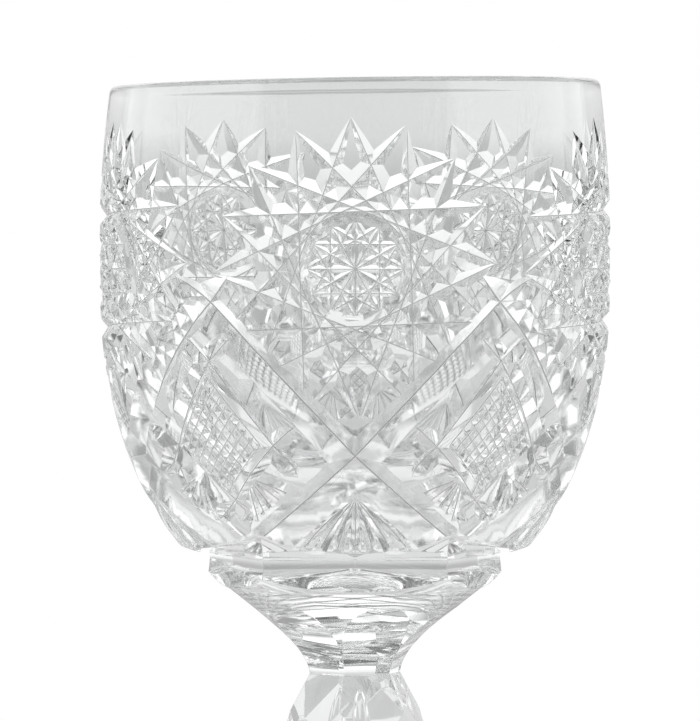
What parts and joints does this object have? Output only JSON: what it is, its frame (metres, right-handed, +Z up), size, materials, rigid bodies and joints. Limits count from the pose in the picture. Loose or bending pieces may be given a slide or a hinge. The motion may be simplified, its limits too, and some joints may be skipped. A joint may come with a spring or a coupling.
{
  "type": "water goblet",
  "caption": "Stemmed cut-glass water goblet: cup-shaped bowl with wheel-cut stars and diamonds, five-sided collar, panelled stem with a faceted knop, and a round foot.",
  "frame": {"origin": "centre of the circle on which the foot stands", "axes": "+Z up along the axis of the glass, -Y towards the viewer of the star that faces forward"},
  "size_m": [0.0865, 0.0865, 0.156],
  "materials": {
    "cut_crystal": "clear colourless lead crystal, blown, wheel-cut and polished"
  },
  "bodies": {
    "root": {"bowl": "cut_crystal", "collar": "cut_crystal", "neck": "cut_crystal", "knop": "cut_crystal", "lower_stem": "cut_crystal", "foot": "cut_crystal"}
  },
  "joints": []
}
